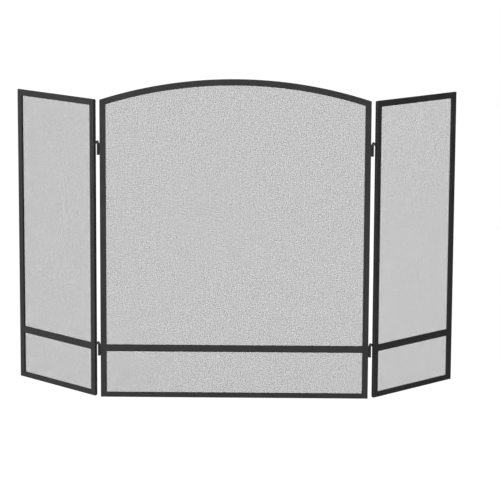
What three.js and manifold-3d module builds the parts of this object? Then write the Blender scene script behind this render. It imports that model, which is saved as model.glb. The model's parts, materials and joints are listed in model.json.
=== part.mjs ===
// Three-panel folding fireplace screen: an arched centre panel with a side panel hung on each edge.
// Each panel is a frame of flat steel bar with a mid rail low down and black woven wire behind it.
// The wire is trapped against the back of the frame by thin riveted strips. Each side panel hangs
// on two bent pins that drop into barrels on the centre panel's edges, so it swings and lifts off.
//
// Millimetres, +Z up, front towards -Y. The origin is the middle of the underside of the centre
// panel's bottom rail, at half the depth of the bar. Pieces that touch keep a 0.3 mm gap.
import * as THREE from 'three';
import { mergeVertices } from 'three/addons/utils/BufferGeometryUtils.js';
import Module from 'manifold-3d';

// Panels
const CROWN_HEIGHT = 762;
const CORNER_HEIGHT = 712;
const CENTRE_WIDTH = 635;
const SIDE_WIDTH = 276;
const SIDE_HEIGHT = 712;
const FOLD = THREE.MathUtils.degToRad(44);

// Bar stock, and the mid rail's place
const BAR_FACE = 14.5;
const BAR_DEPTH = 6;
const MID_FACE = 16;
const BOTTOM_FACE = 11.5;
const MID_RAIL_BOTTOM = 111.5;
const GAP = 0.3;

// Wire cloth, and the strips that hold it on the back of the bars
const MESH_THICK = 0.9;
const MESH_INSET = 3;
const MESH_BOTTOM = 2;
const STRIP_WIDTH = 9;
const STRIP_THICK = 1.5;
const STRIP_INSET = 1.5;
const LOW_STRIP_BOTTOM = 1;
const LOW_STRIP_TOP = BOTTOM_FACE - 0.5;

// Rivets through strip and wire into blind holes in the bars
const RIVET_SHANK_R = 1.3;
const RIVET_HOLE_R = 1.65;
const RIVET_HEAD_R = 2.9;
const RIVET_HEAD_HEIGHT = 1.3;
const RIVET_REACH = 4;
const RIVET_SIDES = 10;
const RIVET_LEVELS = [60, 660];
const RIVET_OFFSETS = [-120, 120];

// Hinges
const BARREL_R = 3.2;
const BARREL_BORE_R = 2.25;
const BARREL_LENGTH = 29;
const BARREL_BOTTOMS = { upper: 582, lower: 100.5 };
const BARREL_CHAMFER = 0.5;
const PIN_R = 2;
const PIN_IN_BARREL = 20;
const PIN_RISE = 0.8;
const PIN_BEND_R = 2.4;
const PIN_SLOPE = THREE.MathUtils.degToRad(48);
const PIN_STEPS = 40;
const PIN_SIDES = 8;
const BARREL_SIDES = 16;
const AXIS_TO_SIDE_STILE = 12.6;

// Worked out from the above
const HALF = CENTRE_WIDTH / 2;
const RISE = CROWN_HEIGHT - CORNER_HEIGHT;
const ARCH_R = (HALF * HALF + RISE * RISE) / (2 * RISE);
const ARCH_CENTRE_Z = CROWN_HEIGHT - ARCH_R;
const ARCH_STEPS = 32;
const BACK = BAR_DEPTH / 2;
const MESH_FRONT = BACK + GAP;
const STRIP_FRONT = MESH_FRONT + MESH_THICK + GAP;
const HEAD_FRONT = STRIP_FRONT + STRIP_THICK + GAP;
const LOW_RIVET_Z = (LOW_STRIP_BOTTOM + LOW_STRIP_TOP) / 2;
const AXIS_X = HALF + GAP + BARREL_R;

const wasm = await Module();
wasm.setup();

function paint(colour, roughness, metalness) {
  return () => new THREE.MeshStandardMaterial({ color: colour, roughness, metalness });
}
const framePaint = paint(0x37383a, 0.62, 0.3);
const meshPaint = paint(0x2b2c2d, 0.55, 0.35);
const stripPaint = paint(0x2f3032, 0.6, 0.3);
const rivetPaint = paint(0x2a2b2c, 0.45, 0.5);
const hingePaint = paint(0x303133, 0.5, 0.45);

function part(parent, name, geometry, makePaint) {
  const mesh = new THREE.Mesh(geometry, makePaint());
  mesh.name = name;
  parent.add(mesh);
  return mesh;
}

// Height of an arc about the arch's centre, at x.
function arcZ(radius, x) {
  return ARCH_CENTRE_Z + Math.sqrt(radius * radius - x * x);
}

// An upright plate with its outline in X and Z, from the depth front to the depth front + thick.
function upright(shape, front, thick) {
  const options = { depth: thick, bevelEnabled: false, curveSegments: ARCH_STEPS };
  const geometry = new THREE.ExtrudeGeometry(shape, options);
  geometry.rotateX(Math.PI / 2);
  geometry.translate(0, front + thick, 0);
  return geometry;
}

// Straight-sided outline, always anticlockwise, so that holes cut in it run the other way.
function outline(points) {
  const corners = points.map(([x, z]) => new THREE.Vector2(x, z));
  return new THREE.Shape(THREE.ShapeUtils.isClockWise(corners) ? corners.reverse() : corners);
}

function rectangle(x0, x1, z0, z1) {
  return outline([[x0, z0], [x1, z0], [x1, z1], [x0, z1]]);
}

// A curved band between two radii of the arch, with upright ends at x = -reach and x = reach.
function arcBand(outerR, innerR, reach) {
  const outer = Math.asin(reach / outerR);
  const inner = Math.asin(reach / innerR);
  const top = Math.PI / 2;
  const shape = new THREE.Shape();
  shape.moveTo(-reach, arcZ(innerR, reach));
  shape.absarc(0, ARCH_CENTRE_Z, innerR, top + inner, top - inner, true);
  shape.lineTo(reach, arcZ(outerR, reach));
  shape.absarc(0, ARCH_CENTRE_Z, outerR, top - outer, top + outer, false);
  return shape;
}

function withHoles(shape, spots) {
  for (const [x, z] of spots) {
    const rim = [];
    for (let i = 0; i < RIVET_SIDES; i += 1) {
      const turn = (-2 * Math.PI * i) / RIVET_SIDES;
      const reach = new THREE.Vector2(Math.cos(turn), Math.sin(turn)).multiplyScalar(RIVET_HOLE_R);
      rim.push(reach.add(new THREE.Vector2(x, z)));
    }
    shape.holes.push(new THREE.Path(rim));
  }
  return shape;
}

function toSolid(geometry) {
  const bare = geometry.clone();
  bare.deleteAttribute('normal');
  bare.deleteAttribute('uv');
  const merged = mergeVertices(bare, 1e-4);
  const vertProperties = new Float32Array(merged.attributes.position.array);
  const triVerts = new Uint32Array(merged.index.array);
  return new wasm.Manifold(new wasm.Mesh({ numProp: 3, vertProperties, triVerts }));
}

function toGeometry(solid) {
  const mesh = solid.getMesh();
  const geometry = new THREE.BufferGeometry();
  geometry.setAttribute('position', new THREE.BufferAttribute(mesh.vertProperties, 3));
  geometry.setIndex(new THREE.BufferAttribute(mesh.triVerts, 1));
  return geometry;
}

// A frame bar, with a blind hole bored from the back at each rivet.
function bar(shape, spots) {
  const blank = upright(shape, -BACK, BAR_DEPTH);
  if (spots.length === 0) {
    return blank;
  }
  let solid = toSolid(blank);
  const depth = RIVET_REACH + GAP;
  for (const [x, z] of spots) {
    const drill = new THREE.CylinderGeometry(RIVET_HOLE_R, RIVET_HOLE_R, 2 * depth, RIVET_SIDES);
    drill.translate(x, BACK, z);
    solid = solid.subtract(toSolid(drill));
  }
  return toGeometry(solid);
}

function wireCloth(shape, spots) {
  return upright(withHoles(shape, spots), MESH_FRONT, MESH_THICK);
}

function strip(shape, spots) {
  return upright(withHoles(shape, spots), STRIP_FRONT, STRIP_THICK);
}

// Domed head on the back of the strip, and a shank that ends inside the bar.
function rivet([x, z]) {
  const tip = BACK - RIVET_REACH;
  const profile = [
    [0, tip],
    [RIVET_SHANK_R, tip],
    [RIVET_SHANK_R, HEAD_FRONT],
    [RIVET_HEAD_R, HEAD_FRONT],
    [RIVET_HEAD_R, HEAD_FRONT + 0.35 * RIVET_HEAD_HEIGHT],
    [0.75 * RIVET_HEAD_R, HEAD_FRONT + 0.8 * RIVET_HEAD_HEIGHT],
    [0, HEAD_FRONT + RIVET_HEAD_HEIGHT],
  ];
  const points = profile.map(([r, y]) => new THREE.Vector2(r, y));
  const geometry = new THREE.LatheGeometry(points, RIVET_SIDES);
  geometry.translate(x, 0, z);
  return geometry;
}

// Open tube, standing on z = 0 about the Z axis, with its outer rims broken.
function barrel() {
  const c = BARREL_CHAMFER;
  const profile = [
    [BARREL_BORE_R, 0],
    [BARREL_R - c, 0],
    [BARREL_R, c],
    [BARREL_R, BARREL_LENGTH - c],
    [BARREL_R - c, BARREL_LENGTH],
    [BARREL_BORE_R, BARREL_LENGTH],
    [BARREL_BORE_R, 0],
  ];
  const points = profile.map(([r, y]) => new THREE.Vector2(r, y));
  const geometry = new THREE.LatheGeometry(points, BARREL_SIDES);
  geometry.rotateX(Math.PI / 2);
  return geometry;
}

// The bent rod's centre line: up the barrel, over in a tight bend, and down a slope to the edge of
// the side panel's stile, where it ends square.
class HookLine extends THREE.Curve {
  constructor(side) {
    super();
    this.side = side;
    this.shaft = PIN_IN_BARREL + PIN_RISE;
    this.turn = Math.PI / 2 + PIN_SLOPE;
    this.bend = this.turn * PIN_BEND_R;
    const reach = AXIS_TO_SIDE_STILE - GAP - PIN_R * Math.sin(PIN_SLOPE);
    this.slope = (reach - this.across(this.turn)) / Math.cos(PIN_SLOPE);
  }

  across(turn) {
    return PIN_BEND_R * (1 - Math.cos(turn));
  }

  getPoint(t, target = new THREE.Vector3()) {
    const along = t * (this.shaft + this.bend + this.slope);
    if (along <= this.shaft) {
      return target.set(0, 0, along - PIN_IN_BARREL);
    }
    const turn = Math.min((along - this.shaft) / PIN_BEND_R, this.turn);
    const down = Math.max(along - this.shaft - this.bend, 0);
    const x = this.across(turn) + down * Math.cos(PIN_SLOPE);
    const z = PIN_RISE + PIN_BEND_R * Math.sin(turn) - down * Math.sin(PIN_SLOPE);
    return target.set(this.side * x, 0, z);
  }
}

// Bent hinge pin; z = 0 is the barrel's top rim, and the stile lies towards side.
function hookPin(side) {
  const section = new THREE.Shape();
  section.absarc(0, 0, PIN_R, 0, 2 * Math.PI, false);
  const options = {
    steps: PIN_STEPS,
    curveSegments: PIN_SIDES,
    extrudePath: new HookLine(side),
  };
  return new THREE.ExtrudeGeometry(section, options);
}

// Centre panel
function centrePanel() {
  const group = new THREE.Group();
  const innerX = HALF - BAR_FACE;
  const railX = innerX - GAP;
  const under = ARCH_R - BAR_FACE - GAP;
  const stripR = ARCH_R - STRIP_INSET;
  const stripX = HALF - STRIP_INSET;
  const stripIn = stripX - STRIP_WIDTH;
  const rivetX = stripX - STRIP_WIDTH / 2;
  const rivetArcR = stripR - STRIP_WIDTH / 2;
  const spots = {
    left: RIVET_LEVELS.map((z) => [-rivetX, z]),
    right: RIVET_LEVELS.map((z) => [rivetX, z]),
    arch: RIVET_OFFSETS.map((x) => [x, arcZ(rivetArcR, x)]),
    bottom: RIVET_OFFSETS.map((x) => [x, LOW_RIVET_Z]),
  };

  for (const [name, side] of [['left', -1], ['right', 1]]) {
    const stile = outline([
      [side * HALF, 0],
      [side * innerX, 0],
      [side * innerX, arcZ(under, innerX)],
      [side * HALF, arcZ(under, HALF)],
    ]);
    part(group, `center_${name}_stile`, bar(stile, spots[name]), framePaint);
  }
  const arch = arcBand(ARCH_R, ARCH_R - BAR_FACE, HALF);
  part(group, 'center_arch_rail', bar(arch, spots.arch), framePaint);
  const mid = rectangle(-railX, railX, MID_RAIL_BOTTOM, MID_RAIL_BOTTOM + MID_FACE);
  part(group, 'center_mid_rail', bar(mid, []), framePaint);
  const bottom = rectangle(-railX, railX, 0, BOTTOM_FACE);
  part(group, 'center_bottom_rail', bar(bottom, spots.bottom), framePaint);

  const clothX = HALF - MESH_INSET;
  const clothR = ARCH_R - MESH_INSET;
  const cloth = new THREE.Shape();
  const spread = Math.asin(clothX / clothR);
  cloth.moveTo(-clothX, MESH_BOTTOM);
  cloth.lineTo(clothX, MESH_BOTTOM);
  cloth.absarc(0, ARCH_CENTRE_Z, clothR, Math.PI / 2 - spread, Math.PI / 2 + spread, false);
  part(group, 'center_wire_mesh', wireCloth(cloth, Object.values(spots).flat()), meshPaint);

  const archStrip = arcBand(stripR, stripR - STRIP_WIDTH, stripX);
  part(group, 'center_arch_strip', strip(archStrip, spots.arch), stripPaint);
  const stripUnder = stripR - STRIP_WIDTH - GAP;
  for (const [name, side] of [['left', -1], ['right', 1]]) {
    const sideStrip = outline([
      [side * stripX, LOW_STRIP_BOTTOM],
      [side * stripIn, LOW_STRIP_BOTTOM],
      [side * stripIn, arcZ(stripUnder, stripIn)],
      [side * stripX, arcZ(stripUnder, stripX)],
    ]);
    part(group, `center_${name}_strip`, strip(sideStrip, spots[name]), stripPaint);
  }
  const bottomEnd = stripIn - GAP;
  const lowStrip = rectangle(-bottomEnd, bottomEnd, LOW_STRIP_BOTTOM, LOW_STRIP_TOP);
  part(group, 'center_bottom_strip', strip(lowStrip, spots.bottom), stripPaint);

  Object.values(spots).flat().forEach((spot, i) => {
    part(group, `center_rivet_${i + 1}`, rivet(spot), rivetPaint);
  });
  for (const [name, side] of [['left', -1], ['right', 1]]) {
    for (const [level, z] of Object.entries(BARREL_BOTTOMS)) {
      const tube = part(group, `${name}_${level}_hinge_barrel`, barrel(), hingePaint);
      tube.position.set(side * AXIS_X, 0, z);
    }
  }
  return group;
}

// Side panel, built flat with its hinge axis on x = 0, then folded back about that axis.
function sidePanel(name, side) {
  const group = new THREE.Group();
  const near = AXIS_TO_SIDE_STILE;
  const far = near + SIDE_WIDTH;
  const box = (s0, s1, z0, z1) => rectangle(side * s0, side * s1, z0, z1);
  const stripNear = near + STRIP_INSET;
  const stripFar = far - STRIP_INSET;
  const stripTop = SIDE_HEIGHT - STRIP_INSET;
  const middle = side * (near + far) / 2;
  const spots = {
    hinge: RIVET_LEVELS.map((z) => [side * (stripNear + STRIP_WIDTH / 2), z]),
    outer: RIVET_LEVELS.map((z) => [side * (stripFar - STRIP_WIDTH / 2), z]),
    top: [[middle, stripTop - STRIP_WIDTH / 2]],
    bottom: [[middle, LOW_RIVET_Z]],
  };

  const railNear = near + BAR_FACE + GAP;
  const railFar = far - BAR_FACE - GAP;
  const bars = [
    ['hinge_stile', [near, near + BAR_FACE, 0, SIDE_HEIGHT], spots.hinge],
    ['outer_stile', [far - BAR_FACE, far, 0, SIDE_HEIGHT], spots.outer],
    ['top_rail', [railNear, railFar, SIDE_HEIGHT - BAR_FACE, SIDE_HEIGHT], spots.top],
    ['mid_rail', [railNear, railFar, MID_RAIL_BOTTOM, MID_RAIL_BOTTOM + MID_FACE], []],
    ['bottom_rail', [railNear, railFar, 0, BOTTOM_FACE], spots.bottom],
  ];
  for (const [label, size, holes] of bars) {
    part(group, `${name}_${label}`, bar(box(...size), holes), framePaint);
  }

  const cloth = box(near + MESH_INSET, far - MESH_INSET, MESH_BOTTOM, SIDE_HEIGHT - MESH_INSET);
  part(group, `${name}_wire_mesh`, wireCloth(cloth, Object.values(spots).flat()), meshPaint);

  const crossNear = stripNear + STRIP_WIDTH + GAP;
  const crossFar = stripFar - STRIP_WIDTH - GAP;
  const strips = [
    ['hinge_strip', [stripNear, stripNear + STRIP_WIDTH, LOW_STRIP_BOTTOM, stripTop], spots.hinge],
    ['outer_strip', [stripFar - STRIP_WIDTH, stripFar, LOW_STRIP_BOTTOM, stripTop], spots.outer],
    ['top_strip', [crossNear, crossFar, stripTop - STRIP_WIDTH, stripTop], spots.top],
    ['bottom_strip', [crossNear, crossFar, LOW_STRIP_BOTTOM, LOW_STRIP_TOP], spots.bottom],
  ];
  for (const [label, size, holes] of strips) {
    part(group, `${name}_${label}`, strip(box(...size), holes), stripPaint);
  }

  Object.values(spots).flat().forEach((spot, i) => {
    part(group, `${name}_rivet_${i + 1}`, rivet(spot), rivetPaint);
  });
  for (const [level, z] of Object.entries(BARREL_BOTTOMS)) {
    const pin = part(group, `${name}_${level}_hinge_pin`, hookPin(side), hingePaint);
    pin.position.z = z + BARREL_LENGTH;
  }
  group.position.x = side * AXIS_X;
  group.rotation.z = side * FOLD;
  return group;
}

const screen = new THREE.Group();
screen.add(centrePanel());
screen.add(sidePanel('left', -1));
screen.add(sidePanel('right', 1));

export default screen;
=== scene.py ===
"""Looks of a folding fireplace screen: rounded bar frames, woven wire, riveted strips and hook hinges.

Every piece is made in its panel's own flat coordinates (X across, Y to the back, Z up, in metres)
and then turned to where that panel stands at rest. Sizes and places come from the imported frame.
"""
import json
import math

import bmesh
import bpy
import numpy as np
from mathutils import Matrix, Vector


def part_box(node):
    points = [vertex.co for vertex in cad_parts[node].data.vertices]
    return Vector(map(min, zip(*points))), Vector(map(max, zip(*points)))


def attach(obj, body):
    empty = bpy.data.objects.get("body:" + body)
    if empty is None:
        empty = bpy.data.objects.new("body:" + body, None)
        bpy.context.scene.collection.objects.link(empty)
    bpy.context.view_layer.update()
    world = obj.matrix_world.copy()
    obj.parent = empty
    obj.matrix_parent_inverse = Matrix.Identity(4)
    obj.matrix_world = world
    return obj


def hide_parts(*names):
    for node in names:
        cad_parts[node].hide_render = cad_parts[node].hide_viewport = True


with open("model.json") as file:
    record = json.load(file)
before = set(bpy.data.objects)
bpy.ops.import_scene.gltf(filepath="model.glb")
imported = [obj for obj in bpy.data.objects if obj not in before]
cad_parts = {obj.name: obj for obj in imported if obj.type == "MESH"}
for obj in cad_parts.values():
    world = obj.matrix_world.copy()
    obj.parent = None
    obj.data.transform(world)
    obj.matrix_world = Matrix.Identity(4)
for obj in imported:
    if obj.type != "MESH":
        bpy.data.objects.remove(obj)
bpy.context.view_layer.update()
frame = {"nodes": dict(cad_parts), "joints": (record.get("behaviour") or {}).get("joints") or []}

# Camera: well back, a little above the screen and to the right of its middle
CAMERA_AT = (0.0825, -5.2755, 1.3742)
CAMERA_DOWN = math.radians(9.648)
CAMERA_TURN = math.radians(0.515)
CAMERA_ROLL = math.radians(0.309)
CAMERA_LENS = 164.2
CAMERA_SHIFT_Y = -0.1

# Stage: the ground and the air look white, but light the screen less, and more from its left
FLOOR_SIZE = 160
FLOOR_SHADE = 0.10
FLOOR_LOOK, FLOOR_LIGHT = 0.985, 0.25
AIR_LOOK, AIR_LIGHT_LEFT, AIR_LIGHT_RIGHT = 1.0, 0.60, 0.12
KEY_POWER, FILL_POWER = 110, 14

# Bars and strips: rounded edges, and how far a welded end runs into its neighbour
BAR_EDGE = 0.0008
STRIP_EDGE = 0.0003
CAD_GAP = 0.0003
BUTT = CAD_GAP + BAR_EDGE
ARC_STEP = 0.012
EDGE_STEPS = 4

# Woven wire: upright wires lie straight and the level ones are crimped over and under them
# The side panels' wire is finer, so that they look no darker than the middle when folded back
# The wires sway more than a real cloth's do, so that its grain shows from a distance
CENTER_WIRE_D = 0.00045
SIDE_WIRE_D = 0.000345
WIRE_PITCH = 0.00170
WIRE_EDGE = 0.0008
CENTER_WIRE_SWAY = 0.00022
SIDE_WIRE_SWAY = 0.00026
SWAY_STEP = 0.004
WIRE_SIDES = 3
# A wire of few sides is drawn a little fat, so that it covers as much as a round one
WIRE_GIRTH = 1.235
CRIMP = 0.95
MOST_TRIANGLES = 180_000

# Hinges, rivets and beads of weld; a rivet's dimple, lip and eye are shares of its size
PIN_PLAY = 0.00025
TUBE_RIM = 0.00045
ROUND_SIDES = 32
ROD_SIDES = 20
PIN_BEND_R = 0.0024
PIN_SLOPE = math.radians(48)
HOOK_STEPS = 28
BEAD_R = 0.0011
BEAD_STEP = 0.0004
BEAD_SIDES = 12
BEAD_RIPPLE = 0.12
RIVET_RINGS = 10
RIVET_DIMPLE = 0.3
RIVET_LIP = 0.22
RIVET_EYE = 0.02
CORNER_BEAD_R = 0.0009
CORNER_BEAD_FRONT = 0.0012
CORNER_BEAD_BACK = 0.0006
CORNER_CLEAR = 0.004
BARREL_BEAD_INSET = 0.08
BARREL_BEAD_SPREAD = 0.72

rng = np.random.default_rng(7)


# ---------------------------------------------------------------- panels

class Panel:
    """One panel: its body, and the turn from its own flat coordinates to where it stands."""

    def __init__(self, name, side=0):
        self.name = name
        self.body = name + "_panel"
        self.side = side
        self.matrix = Matrix.Identity(4)
        if side:
            joint = next(j for j in frame["joints"] if j["child"] == self.body)
            axis = Vector(joint["pos_m"])
            lo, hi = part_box(name + "_mid_rail")
            out = (lo + hi) / 2 - axis
            fold = math.atan2(out.y, side * out.x)
            self.matrix = Matrix.Translation((axis.x, axis.y, 0)) @ Matrix.Rotation(side * fold, 4, "Z")
        self.back = self.matrix.inverted()

    def points(self, node):
        """A CAD node's points in this panel's flat coordinates."""
        mesh = frame["nodes"][node].data
        flat = np.empty(len(mesh.vertices) * 3, dtype=np.float32)
        mesh.vertices.foreach_get("co", flat)
        turn = np.array(self.back)
        return flat.reshape(-1, 3) @ turn[:3, :3].T + turn[:3, 3]

    def box(self, node):
        points = self.points(node)
        return Vector(points.min(axis=0)), Vector(points.max(axis=0))

    def nodes(self, kind):
        """Names of this panel's CAD nodes whose names hold kind."""
        return sorted(n for n in frame["nodes"] if n.startswith(self.name + "_") and kind in n)


class Arch:
    """The arched top: arcs about one centre, worked out from the arch rail's half width and face."""

    def __init__(self, panel):
        lo, hi = panel.box("center_arch_rail")
        stile_lo, stile_hi = panel.box("center_left_stile")
        face = stile_hi.x - stile_lo.x
        rise = hi.z - face - lo.z
        self.half = hi.x
        self.inner = (self.half ** 2 + rise ** 2) / (2 * rise)
        self.outer = self.inner + face
        self.centre = hi.z - self.outer

    def height(self, radius, x):
        return self.centre + np.sqrt(radius ** 2 - x ** 2)


center = Panel("center")
left = Panel("left", -1)
right = Panel("right", 1)
PANELS = (center, left, right)
arch = Arch(center)


# ---------------------------------------------------------------- materials

def new_material(name):
    material = bpy.data.materials.new(name)
    material.use_nodes = True
    tree = material.node_tree
    return material, tree, tree.nodes["Principled BSDF"]


def add(tree, kind, **settings):
    node = tree.nodes.new(kind)
    for key, value in settings.items():
        setattr(node, key, value)
    return node


def noise(tree, where, scale, detail=3.0, roughness=0.55):
    node = add(tree, "ShaderNodeTexNoise")
    node.inputs["Scale"].default_value = scale
    node.inputs["Detail"].default_value = detail
    node.inputs["Roughness"].default_value = roughness
    tree.links.new(where.outputs["Object"], node.inputs["Vector"])
    return node.outputs["Fac"]


def spread(tree, value, low, high, start=0.3, end=0.7):
    """Turns start..end into low..high."""
    node = add(tree, "ShaderNodeMapRange")
    node.inputs["From Min"].default_value = start
    node.inputs["From Max"].default_value = end
    node.inputs["To Min"].default_value = low
    node.inputs["To Max"].default_value = high
    tree.links.new(value, node.inputs["Value"])
    return node.outputs["Result"]


def ramp(tree, value, low, high, start=0.3, end=0.7):
    """Turns start..end into the colours low..high."""
    node = add(tree, "ShaderNodeValToRGB")
    for element, place, colour in zip(node.color_ramp.elements, (start, end), (low, high)):
        element.position = place
        element.color = colour
    tree.links.new(value, node.inputs["Fac"])
    return node.outputs["Color"]


def grey(level, warm=1.0):
    return (level * warm, level, level / warm, 1)


def bumps(tree, shader, layers):
    """Stacks bump layers of (height, depth in metres, strength) on the shader's normal."""
    normal = None
    for height, depth, strength in layers:
        node = add(tree, "ShaderNodeBump")
        node.inputs["Strength"].default_value = strength
        node.inputs["Distance"].default_value = depth
        tree.links.new(height, node.inputs["Height"])
        if normal:
            tree.links.new(normal, node.inputs["Normal"])
        normal = node.outputs["Normal"]
    tree.links.new(normal, shader.inputs["Normal"])


def powder_coat(name, dark, light, keen, dull):
    """Matte black powder coat: orange peel and grit, with slow changes of tone and sheen."""
    material, tree, shader = new_material(name)
    where = add(tree, "ShaderNodeTexCoord")
    tone = ramp(tree, noise(tree, where, 28, 4), grey(dark), grey(light, 1.01))
    tree.links.new(tone, shader.inputs["Base Color"])
    tree.links.new(spread(tree, noise(tree, where, 75), keen, dull), shader.inputs["Roughness"])
    shader.inputs["Specular IOR Level"].default_value = 0.30
    peel = noise(tree, where, 620, 2, 0.4)
    grit = noise(tree, where, 2600, 2, 0.6)
    bumps(tree, shader, [(peel, 0.00009, 0.55), (grit, 0.00002, 0.5)])
    return material


def near_heights(tree, where, heights, reach):
    """1 at each of the heights, falling to 0 at reach above and below it."""
    axes = add(tree, "ShaderNodeSeparateXYZ")
    tree.links.new(where.outputs["Object"], axes.inputs[0])
    most = None
    for height in heights:
        gap = add(tree, "ShaderNodeMath", operation="SUBTRACT")
        gap.inputs[1].default_value = height
        tree.links.new(axes.outputs["Z"], gap.inputs[0])
        size = add(tree, "ShaderNodeMath", operation="ABSOLUTE")
        tree.links.new(gap.outputs[0], size.inputs[0])
        band = spread(tree, size.outputs[0], 1, 0, reach / 4, reach)
        if most is None:
            most = band
            continue
        larger = add(tree, "ShaderNodeMath", operation="MAXIMUM")
        tree.links.new(most, larger.inputs[0])
        tree.links.new(band, larger.inputs[1])
        most = larger.outputs[0]
    return most


def hinge_coat(rims):
    """Satin black coat, rubbed through in specks to dull steel where barrel rims and hooks meet."""
    material, tree, shader = new_material("hinge_black")
    where = add(tree, "ShaderNodeTexCoord")
    specks = spread(tree, noise(tree, where, 900), 0, 1, 0.50, 0.60)
    worn = add(tree, "ShaderNodeMath", operation="MULTIPLY")
    tree.links.new(near_heights(tree, where, rims, 0.0018), worn.inputs[0])
    tree.links.new(specks, worn.inputs[1])
    coat = ramp(tree, noise(tree, where, 60), grey(0.026), grey(0.036))
    mix = add(tree, "ShaderNodeMix", data_type="RGBA")
    mix.inputs["B"].default_value = grey(0.2, 1.02)
    tree.links.new(worn.outputs[0], mix.inputs["Factor"])
    tree.links.new(coat, mix.inputs["A"])
    tree.links.new(mix.outputs["Result"], shader.inputs["Base Color"])
    tree.links.new(spread(tree, noise(tree, where, 200), 0.42, 0.56), shader.inputs["Roughness"])
    shader.inputs["Specular IOR Level"].default_value = 0.35
    bumps(tree, shader, [(noise(tree, where, 900, 2, 0.5), 0.00006, 0.5)])
    return material


def wire_coats():
    """Thin black coat on wire: each wire takes one of three slightly different tones and sheens."""
    made = []
    for i, (tone, rough) in enumerate(((0.020, 0.50), (0.026, 0.44), (0.032, 0.56))):
        material, tree, shader = new_material(f"wire_black_{i + 1}")
        shader.inputs["Base Color"].default_value = grey(tone)
        shader.inputs["Roughness"].default_value = rough
        made.append(material)
    return made


# ---------------------------------------------------------------- mesh making

def linked(name, panel, mesh, materials, replaced):
    mesh.shade_smooth()
    for material in materials:
        mesh.materials.append(material)
    piece = bpy.data.objects.new(name, mesh)
    bpy.context.scene.collection.objects.link(piece)
    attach(piece, panel.body)
    if replaced:
        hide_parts(*replaced)
    return piece


def solid_piece(name, panel, shells, material, replaced=()):
    """A piece of one or more closed shells, each (points, faces) in the panel's flat coordinates."""
    points, faces = [], []
    for shell_points, shell_faces in shells:
        start = len(points)
        points += [panel.matrix @ Vector(p) for p in shell_points]
        faces += [[start + k for k in face] for face in shell_faces]
    mesh = bpy.data.meshes.new(name)
    mesh.from_pydata(points, [], faces)
    work = bmesh.new()
    work.from_mesh(mesh)
    bmesh.ops.recalc_face_normals(work, faces=work.faces)
    work.to_mesh(mesh)
    work.free()
    piece = linked(name, panel, mesh, [material], replaced)
    modifier = piece.modifiers.new("flat faces stay flat", "WEIGHTED_NORMAL")
    modifier.weight = 100
    return piece


def skin(rings):
    """Closed shell through rings of equal length, capped at both ends."""
    count, size = len(rings), len(rings[0])
    points = [point for ring in rings for point in ring]
    faces = [list(reversed(range(size)))]
    for i in range(count - 1):
        a, b = i * size, (i + 1) * size
        for k in range(size):
            n = (k + 1) % size
            faces.append([a + k, a + n, b + n, b + k])
    faces.append(list(range((count - 1) * size, count * size)))
    return points, faces


def lathe(profile, at):
    """Closed shell turned from a closed profile of (radius, height); at places (x, y, height)."""
    rings = []
    for radius, height in profile:
        turns = (2 * math.pi * k / ROUND_SIDES for k in range(ROUND_SIDES))
        rings.append([at(radius * math.cos(t), radius * math.sin(t), height) for t in turns])
    points = [point for ring in rings for point in ring]
    faces = []
    for i in range(len(rings)):
        a, b = i * ROUND_SIDES, (i + 1) % len(rings) * ROUND_SIDES
        for k in range(ROUND_SIDES):
            n = (k + 1) % ROUND_SIDES
            faces.append([a + k, a + n, b + n, b + k])
    return points, faces


def bar_section(across, deep, radius, inset):
    """Rounded rectangle of (across, deep) points, drawn in by inset all round."""
    a, d = across / 2 - inset, deep / 2 - inset
    r = max(radius - inset, radius / 4)
    points = []
    for quarter, (sx, sy) in enumerate(((1, 1), (-1, 1), (-1, -1), (1, -1))):
        for k in range(EDGE_STEPS + 1):
            t = math.pi / 2 * (quarter + k / EDGE_STEPS)
            points.append((sx * (a - r) + r * math.cos(t), sy * (d - r) + r * math.sin(t)))
    return points


def stations(start, end, radius, rounded, between=()):
    """(place, inset) along a bar: rounded ends curve in over radius, and the others are cut flat."""
    turns = [math.pi / 2 * k / 3 for k in range(4)]
    curve = [(radius * (1 - math.cos(t)), radius * (1 - math.sin(t))) for t in turns]
    first = [(start + a, inset) for a, inset in curve] if rounded[0] else [(start, 0)]
    last = [(end - a, inset) for a, inset in reversed(curve)] if rounded[1] else [(end, 0)]
    return first + [(place, 0) for place in between] + last


def bar_shell(places, across, deep, radius, at):
    """Shell of a bar with a rounded section; at turns (place, across, deep) into a point."""
    rings = []
    for place, inset in places:
        rings.append([at(place, u, v) for u, v in bar_section(across, deep, radius, inset)])
    return skin(rings)


def level_bar(panel, node, radius, butt, rounded=(False, False)):
    lo, hi = panel.box(node)
    y, z = (lo.y + hi.y) / 2, (lo.z + hi.z) / 2
    places = stations(lo.x - butt, hi.x + butt, radius, rounded)
    return bar_shell(places, hi.z - lo.z, hi.y - lo.y, radius, lambda s, u, v: (s, y + v, z + u))


def upright_bar(panel, node, radius, top_radius=None):
    """Upright bar with rounded ends, or with its top cut flat along an arc of the arch."""
    lo, hi = panel.box(node)
    x, y = (lo.x + hi.x) / 2, (lo.y + hi.y) / 2
    if top_radius is None:
        places = stations(lo.z, hi.z, radius, (True, True))
        return bar_shell(places, hi.x - lo.x, hi.y - lo.y, radius, lambda s, u, v: (x + u, y + v, s))

    def slanted(s, u, v):
        share = (s - lo.z) / (arch.height(top_radius, x) - lo.z)
        return x + u, y + v, lo.z + share * (arch.height(top_radius, x + u) - lo.z)

    places = stations(lo.z, arch.height(top_radius, x), radius, (True, False))
    return bar_shell(places, hi.x - lo.x, hi.y - lo.y, radius, slanted)


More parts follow.
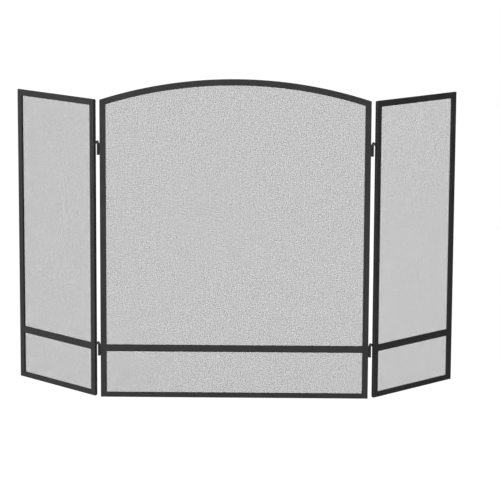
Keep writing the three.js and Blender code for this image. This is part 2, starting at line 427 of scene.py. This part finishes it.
def arched_bar(panel, node, radius, outer, face):
    """Bar along the arch, its ends cut upright."""
    lo, hi = panel.box(node)
    y = (lo.y + hi.y) / 2
    count = round((hi.x - lo.x) / ARC_STEP)
    between = [lo.x + (hi.x - lo.x) * k / count for k in range(1, count)]
    places = stations(lo.x, hi.x, radius, (True, True), between)
    middle = outer - face / 2

    def turn(s, u, v):
        return s, y + v, arch.height(middle + u, s)

    return bar_shell(places, face, hi.y - lo.y, radius, turn)


def rod(line, radius, sides=ROD_SIDES):
    """Round rod along points in the X-Z plane, with both ends rounded over."""
    line = [Vector(p) for p in line]
    ways = []
    for i in range(len(line)):
        ways.append((line[min(i + 1, len(line) - 1)] - line[max(i - 1, 0)]).normalized())
    turns = [math.pi / 2 * k / 4 for k in range(4)]
    stops = [(line[0] - ways[0] * radius * math.cos(t) * 0.5, ways[0], math.sin(t)) for t in turns[1:]]
    stops += [(p, w, 1) for p, w in zip(line, ways)]
    tail = [(line[-1] + ways[-1] * radius * math.cos(t) * 0.5, ways[-1], math.sin(t)) for t in turns[1:]]
    stops += reversed(tail)
    rings = []
    for point, way, size in stops:
        flat = Vector((way.z, 0, -way.x))
        ring = []
        for k in range(sides):
            t = 2 * math.pi * k / sides
            ring.append(point + (flat * math.cos(t) + Vector((0, 1, 0)) * math.sin(t)) * radius * size)
        rings.append(ring)
    return skin(rings)


def bead(path, length, radius):
    """Weld bead along path(0) to path(1), square to X: its girth ripples and thins at both ends."""
    count = max(6, round(length / BEAD_STEP))
    one = Vector((1, 0, 0))
    rings = []
    for i in range(count + 1):
        share = i / count
        way = (path(share + 0.01) - path(share - 0.01)).normalized()
        two = way.cross(one)
        taper = math.sqrt(max(0.02, 1 - (2 * share - 1) ** 8))
        ripple = BEAD_RIPPLE * (math.cos(1.6 * i) + rng.uniform(-0.5, 0.5))
        ring = []
        for k in range(BEAD_SIDES):
            t = 2 * math.pi * k / BEAD_SIDES
            around = one * math.cos(t) + two * math.sin(t)
            ring.append(path(share) + around * radius * taper * (1 + ripple))
        rings.append(ring)
    return skin(rings)


def straight_bead(start, end, radius):
    start, end = Vector(start), Vector(end)
    return bead(lambda share: start + (end - start) * share, (end - start).length, radius)


# ---------------------------------------------------------------- frames and strips

def make_frame_bar(panel, node, shell, material):
    solid_piece(node + "_bar", panel, [shell], material, [node])


def make_center_frame(coat):
    face = arch.outer - arch.inner
    for name in ("center_left_stile", "center_right_stile"):
        make_frame_bar(center, name, upright_bar(center, name, BAR_EDGE, arch.inner + BAR_EDGE), coat)
    rail = "center_arch_rail"
    make_frame_bar(center, rail, arched_bar(center, rail, BAR_EDGE, arch.outer, face), coat)
    for name in ("center_mid_rail", "center_bottom_rail"):
        make_frame_bar(center, name, level_bar(center, name, BAR_EDGE, BUTT), coat)


def make_side_frame(panel, coat):
    for part in ("hinge_stile", "outer_stile"):
        name = f"{panel.name}_{part}"
        make_frame_bar(panel, name, upright_bar(panel, name, BAR_EDGE), coat)
    for part in ("top_rail", "mid_rail", "bottom_rail"):
        name = f"{panel.name}_{part}"
        make_frame_bar(panel, name, level_bar(panel, name, BAR_EDGE, BUTT), coat)


def make_center_strips(coat):
    lo, hi = center.box("center_arch_strip")
    outer = hi.z - arch.centre
    side_lo, side_hi = center.box("center_left_strip")
    width = side_hi.x - side_lo.x
    shells = [
        arched_bar(center, "center_arch_strip", STRIP_EDGE, outer, width),
        upright_bar(center, "center_left_strip", STRIP_EDGE, outer - width),
        upright_bar(center, "center_right_strip", STRIP_EDGE, outer - width),
        level_bar(center, "center_bottom_strip", STRIP_EDGE, 0, (True, True)),
    ]
    solid_piece("center_strips", center, shells, coat, center.nodes("_strip"))


def make_side_strips(panel, coat):
    shells = []
    for part in ("hinge_strip", "outer_strip"):
        shells.append(upright_bar(panel, f"{panel.name}_{part}", STRIP_EDGE))
    for part in ("top_strip", "bottom_strip"):
        shells.append(level_bar(panel, f"{panel.name}_{part}", STRIP_EDGE, 0, (True, True)))
    solid_piece(panel.name + "_strips", panel, shells, coat, panel.nodes("_strip"))


def rivet_shell(panel, node, seat):
    """Domed rivet head standing on the height seat, with the dimple its broken stem leaves."""
    lo, hi = panel.box(node)
    x, z = (lo.x + hi.x) / 2, (lo.z + hi.z) / 2
    radius, tall = (hi.x - lo.x) / 2, hi.y - seat
    dimple, eye = radius * RIVET_DIMPLE, radius * RIVET_EYE
    profile = [(eye, seat), (radius * 0.97, seat), (radius, seat + tall * 0.12)]
    for k in range(1, RIVET_RINGS + 1):
        t = math.pi / 2 * k / RIVET_RINGS
        r = dimple + (radius - dimple) * math.cos(t)
        profile.append((r, seat + tall * (RIVET_LIP + (1 - RIVET_LIP) * math.sin(t))))
    floor = [(dimple * 0.8, hi.y - tall * 0.1), (dimple * 0.7, hi.y - tall * 0.35)]
    profile += [*floor, (eye, hi.y - tall * 0.4)]
    return lathe(profile, lambda a, b, height: (x + a, height, z + b))


def make_rivets(panel, coat):
    nodes = panel.nodes("_rivet_")
    strip = panel.nodes("_strip")[0]
    seat = panel.box(strip)[1].y
    shells = [rivet_shell(panel, node, seat) for node in nodes]
    solid_piece(panel.name + "_rivets", panel, shells, coat, nodes)


def corner_beads(panel, stiles, rails):
    """Small fillets of weld where each rail meets the inner edges of the stiles."""
    shells = []
    spots = []
    for rail in rails:
        lo, hi = panel.box(f"{panel.name}_{rail}")
        for stile in stiles:
            s_lo, s_hi = panel.box(f"{panel.name}_{stile}")
            x = s_hi.x if s_hi.x < (lo.x + hi.x) / 2 else s_lo.x
            spots += [(x, z) for z in (lo.z, hi.z) if CORNER_CLEAR < z < s_hi.z - CORNER_CLEAR]
    depth = panel.box(f"{panel.name}_{stiles[0]}")
    front, back = depth[0].y + CORNER_BEAD_FRONT, depth[1].y - CORNER_BEAD_BACK
    for x, z in spots:
        shells.append(straight_bead((x, front, z), (x, back, z), CORNER_BEAD_R))
    return shells


def make_corner_welds(panel, coat):
    if panel.side:
        stiles, rails = ("hinge_stile", "outer_stile"), ("top_rail", "mid_rail", "bottom_rail")
    else:
        stiles, rails = ("left_stile", "right_stile"), ("mid_rail", "bottom_rail")
    solid_piece(panel.name + "_corner_welds", panel, corner_beads(panel, stiles, rails), coat)


# ---------------------------------------------------------------- hinges

def hinge_names(kind):
    return sorted(n for n in frame["nodes"] if n.endswith(kind))


def pin_radius():
    lo, hi = left.box("left_upper_hinge_pin")
    return (hi.y - lo.y) / 2


def tube_shell(node):
    """Hinge barrel: open tube with rounded rims."""
    lo, hi = center.box(node)
    x, y = (lo.x + hi.x) / 2, (lo.y + hi.y) / 2
    outer, inner = (hi.y - lo.y) / 2, pin_radius() + PIN_PLAY
    rim = min(TUBE_RIM, (outer - inner) / 2)
    turns = [math.pi / 2 * k / 4 for k in range(5)]
    corners = [
        (outer - rim, lo.z + rim, 1, -1), (outer - rim, hi.z - rim, 1, 1),
        (inner + rim, hi.z - rim, -1, 1), (inner + rim, lo.z + rim, -1, -1),
    ]
    profile = []
    for i, (r, z, sr, sz) in enumerate(corners):
        for t in (turns if i % 2 else reversed(turns)):
            profile.append((r + sr * rim * math.cos(t), z + sz * rim * math.sin(t)))
    return lathe(profile, lambda a, b, height: (x + a, y + b, height))


def tube_beads(node):
    """Two weld beads along the valleys between a barrel and the stile that it stands on."""
    lo, hi = center.box(node)
    stile_x = center.box("center_right_stile")[1].x
    side = math.copysign(1, lo.x)
    radius = (hi.y - lo.y) / 2
    inset = (hi.z - lo.z) * BARREL_BEAD_INSET
    x = side * (stile_x + BEAD_R * 0.5)
    low, high = lo.z + inset, hi.z - inset
    apart = BARREL_BEAD_SPREAD * radius
    return [straight_bead((x, y, low), (x, y, high), BEAD_R) for y in (-apart, apart)]


def hook_line(panel, node):
    """Centre line of a bent pin: up the barrel, over a bend, and down a slope to the stile's edge."""
    lo, hi = panel.box(node)
    stile = panel.box(panel.name + "_hinge_stile")
    reach = min(abs(stile[0].x), abs(stile[1].x))
    top = hi.z - pin_radius() - PIN_BEND_R
    line = [(0, 0, z) for z in (lo.z + pin_radius() / 2, (lo.z + top) / 2, top)]
    for k in range(1, HOOK_STEPS + 1):
        t = (math.pi / 2 + PIN_SLOPE) * k / HOOK_STEPS
        line.append((PIN_BEND_R * (1 - math.cos(t)), 0, top + PIN_BEND_R * math.sin(t)))
    x, _, z = line[-1]
    line.append((reach, 0, z - (reach - x) * math.tan(PIN_SLOPE)))
    return [(panel.side * x, 0, z) for x, _, z in line]


def hook_bead(panel, node):
    """Weld all round the slanting end of a pin, on the stile's edge."""
    x, _, z = hook_line(panel, node)[-1]
    deep, tall = pin_radius(), pin_radius() / math.cos(PIN_SLOPE)

    def path(share):
        t = 2 * math.pi * share
        return Vector((x - panel.side * BEAD_R * 0.2, deep * math.sin(t), z + tall * math.cos(t)))

    return bead(path, 2 * math.pi * (deep + tall) / 2, BEAD_R)


def make_hinges(coat):
    shells = []
    for node in hinge_names("_hinge_barrel"):
        solid_piece(node + "_tube", center, [tube_shell(node)], coat, [node])
        shells += tube_beads(node)
    solid_piece("center_hinge_welds", center, shells, coat)
    for panel in (left, right):
        shells = []
        for node in panel.nodes("_hinge_pin"):
            shell = rod(hook_line(panel, node), pin_radius())
            solid_piece(node + "_rod", panel, [shell], coat, [node])
            shells.append(hook_bead(panel, node))
        solid_piece(panel.name + "_hook_welds", panel, shells, coat)


# ---------------------------------------------------------------- woven wire

def section(radius):
    """Points round a wire, as (one, two) offsets."""
    turns = 2 * np.pi * np.arange(WIRE_SIDES) / WIRE_SIDES + np.pi / 6
    return np.stack([np.cos(turns), np.sin(turns)], axis=1) * radius


def tube(line, axis, radius):
    """Points and faces round a wire's line; its sections stay square to axis 0 (X) or 2 (Z)."""
    one, two = ((1, 2) if axis == 0 else (0, 1))
    ring = np.zeros((WIRE_SIDES, 3))
    ring[:, (one, two)] = section(radius)
    points = (line[:, None, :] + ring[None, :, :]).reshape(-1, 3)
    starts = (np.arange(len(line) - 1) * WIRE_SIDES)[:, None]
    k = np.arange(WIRE_SIDES)[None, :]
    n = (k + 1) % WIRE_SIDES
    quads = np.stack([starts + k, starts + n, starts + WIRE_SIDES + n, starts + WIRE_SIDES + k], axis=2)
    last = (len(line) - 1) * WIRE_SIDES
    caps = np.array([np.arange(WIRE_SIDES)[::-1], last + np.arange(WIRE_SIDES)])
    return points, quads.reshape(-1, 4), caps


def wire_piece(name, panel, wires, node, coats):
    """One piece of many wires, each (points, quads, caps, coat number)."""
    points, quads, caps, tones = [], [], [], []
    start = 0
    for wire_points, wire_quads, wire_caps, coat in wires:
        points.append(wire_points)
        quads.append(wire_quads + start)
        caps.append(wire_caps + start)
        tones.append(np.full(len(wire_quads), coat))
        start += len(wire_points)
    tones += [np.full(len(wire_caps), coat) for _, _, wire_caps, coat in wires]
    turn = np.array(panel.matrix)
    placed = np.concatenate(points) @ turn[:3, :3].T + turn[:3, 3]
    quads, caps = np.concatenate(quads), np.concatenate(caps)
    corners = np.concatenate([quads.ravel(), caps.ravel()]).astype(np.int32)
    sizes = np.concatenate([np.full(len(quads), 4), np.full(len(caps), WIRE_SIDES)])
    mesh = bpy.data.meshes.new(name)
    mesh.vertices.add(len(placed))
    mesh.vertices.foreach_set("co", placed.astype(np.float32).ravel())
    mesh.loops.add(len(corners))
    mesh.loops.foreach_set("vertex_index", corners)
    mesh.polygons.add(len(sizes))
    mesh.polygons.foreach_set("loop_start", (np.cumsum(sizes) - sizes).astype(np.int32))
    mesh.update(calc_edges=True)
    mesh.polygons.foreach_set("material_index", np.concatenate(tones).astype(np.int32))
    linked(name, panel, mesh, coats, [node])


class Cloth:
    """Where one panel's wires run: places across, heights, and each one's slow sway."""

    def __init__(self, panel):
        self.panel = panel
        self.node = panel.name + "_wire_mesh"
        lo, hi = panel.box(self.node)
        self.lo, self.hi = lo, hi
        self.mid = (lo.y + hi.y) / 2
        self.arc = hi.z - arch.centre if panel.side == 0 else None
        self.places = self.row(lo.x, hi.x)
        self.levels = self.row(lo.z, hi.z)
        self.knots_z = np.linspace(lo.z, hi.z, round((hi.z - lo.z) / SWAY_STEP))
        self.knots_x = np.linspace(lo.x, hi.x, round((hi.x - lo.x) / SWAY_STEP))
        sway = SIDE_WIRE_SWAY if panel.side else CENTER_WIRE_SWAY
        self.sway_x = rng.normal(0, sway, (len(self.places), len(self.knots_z)))
        self.sway_z = rng.normal(0, sway, (len(self.levels), len(self.knots_x)))

    @staticmethod
    def row(start, end):
        count = round((end - start - 2 * WIRE_EDGE) / WIRE_PITCH)
        return np.linspace(start + WIRE_EDGE, end - WIRE_EDGE, count + 1)

    def top(self, x):
        return arch.height(self.arc, x) if self.arc else self.hi.z

    def reach(self, z):
        """How far each way level wires run from x = 0 under the arch."""
        rise = max(z - arch.centre, 0)
        return math.sqrt(max(self.arc ** 2 - rise ** 2, 0)) if self.arc else math.inf


def upright_wires(cloth, wire_d):
    wires = []
    for i, x in enumerate(cloth.places):
        top = cloth.top(x) - WIRE_EDGE / 2
        below = cloth.knots_z < top - WIRE_EDGE
        z = np.append(cloth.knots_z[below], top)
        sway = np.interp(z, cloth.knots_z, cloth.sway_x[i])
        line = np.stack([x + sway, np.full(len(z), cloth.mid), z], axis=1)
        wires.append((*tube(line, 2, wire_d / 2 * WIRE_GIRTH), int(rng.integers(3))))
    return wires


def level_wires(cloth, wire_d):
    signs = np.where(np.arange(len(cloth.places)) % 2, 1, -1)
    wires = []
    for j, z in enumerate(cloth.levels):
        inside = np.abs(cloth.places) < cloth.reach(z) - WIRE_EDGE
        if inside.sum() < 4:
            continue
        crossing = [np.interp(z, cloth.knots_z, sway) for sway in cloth.sway_x[inside]]
        x = cloth.places[inside] + crossing
        weave = signs[inside] * (1 if j % 2 else -1) * wire_d * CRIMP
        height = z + np.interp(x, cloth.knots_x, cloth.sway_z[j])
        line = np.stack([x, cloth.mid + weave, height], axis=1)
        wires.append((*tube(line, 0, wire_d / 2 * WIRE_GIRTH), int(rng.integers(3))))
    return wires


def make_cloth(panel, coats):
    cloth = Cloth(panel)
    wire_d = SIDE_WIRE_D if panel.side else CENTER_WIRE_D
    for way, wires in (("upright", upright_wires(cloth, wire_d)), ("level", level_wires(cloth, wire_d))):
        group = MOST_TRIANGLES // max(2 * len(quads) for _, quads, _, _ in wires)
        for number, first in enumerate(range(0, len(wires), group)):
            name = f"{panel.name}_{way}_wires_{number + 1}"
            wire_piece(name, panel, wires[first:first + group], cloth.node, coats)


# ---------------------------------------------------------------- stage

def make_camera():
    data = bpy.data.cameras.new("camera")
    data.lens = CAMERA_LENS
    data.shift_y = CAMERA_SHIFT_Y
    camera = bpy.data.objects.new("camera", data)
    turn = Matrix.Rotation(CAMERA_TURN, 4, "Z")
    tilt = Matrix.Rotation(math.pi / 2 - CAMERA_DOWN, 4, "X")
    roll = Matrix.Rotation(CAMERA_ROLL, 4, "Z")
    camera.matrix_world = Matrix.Translation(CAMERA_AT) @ turn @ tilt @ roll
    bpy.context.scene.collection.objects.link(camera)
    bpy.context.scene.camera = camera


def seen(tree, look, light):
    """look where the camera sees a thing itself, and light where it only lights the screen."""
    path = add(tree, "ShaderNodeLightPath")
    return spread(tree, path.outputs["Is Camera Ray"], light, look, 0, 1)


def make_floor():
    """Large white floor, with a glow that keeps it even, so that shadows on it stay faint."""
    mesh = bpy.data.meshes.new("floor")
    h = FLOOR_SIZE / 2
    mesh.from_pydata([(-h, -h, 0), (h, -h, 0), (h, h, 0), (-h, h, 0)], [], [(0, 1, 2, 3)])
    floor = bpy.data.objects.new("floor", mesh)
    bpy.context.scene.collection.objects.link(floor)
    material, tree, shader = new_material("floor_white")
    shader.inputs["Base Color"].default_value = grey(FLOOR_SHADE)
    shader.inputs["Roughness"].default_value = 1
    shader.inputs["Specular IOR Level"].default_value = 0
    shader.inputs["Emission Color"].default_value = grey(1)
    tree.links.new(seen(tree, FLOOR_LOOK, FLOOR_LIGHT), shader.inputs["Emission Strength"])
    mesh.materials.append(material)


def softbox(name, place, target, size, power):
    data = bpy.data.lights.new(name, "AREA")
    data.shape = "RECTANGLE"
    data.size, data.size_y = size
    data.energy = power
    light = bpy.data.objects.new(name, data)
    light.location = place
    light.rotation_euler = (Vector(target) - Vector(place)).to_track_quat("-Z", "Y").to_euler()
    bpy.context.scene.collection.objects.link(light)


def make_light():
    world = bpy.data.worlds.new("studio")
    bpy.context.scene.world = world
    world.use_nodes = True
    tree = world.node_tree
    where = add(tree, "ShaderNodeTexCoord")
    axes = add(tree, "ShaderNodeSeparateXYZ")
    tree.links.new(where.outputs["Generated"], axes.inputs[0])
    light = spread(tree, axes.outputs["X"], AIR_LIGHT_LEFT, AIR_LIGHT_RIGHT, -1, 1)
    path = add(tree, "ShaderNodeLightPath")
    mix = add(tree, "ShaderNodeMix", data_type="FLOAT")
    mix.inputs["B"].default_value = AIR_LOOK
    tree.links.new(path.outputs["Is Camera Ray"], mix.inputs["Factor"])
    tree.links.new(light, mix.inputs["A"])
    sky = tree.nodes["Background"]
    sky.inputs["Color"].default_value = grey(1)
    tree.links.new(mix.outputs["Result"], sky.inputs["Strength"])
    middle = (0, 0, 0.4)
    softbox("key", (-2.8, -3.6, 2.6), middle, (2.4, 2.4), KEY_POWER)
    softbox("fill", (2.6, -4.2, 1.8), middle, (2.0, 2.0), FILL_POWER)
    bpy.context.scene.view_settings.view_transform = "Standard"


# ---------------------------------------------------------------- the screen

make_camera()
make_floor()
make_light()

frame_coat = powder_coat("frame_black", 0.043, 0.056, 0.50, 0.64)
strip_coat = powder_coat("strip_black", 0.032, 0.044, 0.46, 0.60)
rivet_coat = powder_coat("rivet_black", 0.024, 0.036, 0.36, 0.50)
rims = sorted({round(center.box(n)[1].z, 5) for n in hinge_names("_hinge_barrel")})
hinge_black = hinge_coat(rims)

make_center_frame(frame_coat)
make_center_strips(strip_coat)
for side_panel in (left, right):
    make_side_frame(side_panel, frame_coat)
    make_side_strips(side_panel, strip_coat)
wire_black = wire_coats()
for each in PANELS:
    make_rivets(each, rivet_coat)
    make_corner_welds(each, frame_coat)
    make_cloth(each, wire_black)
make_hinges(hinge_black)
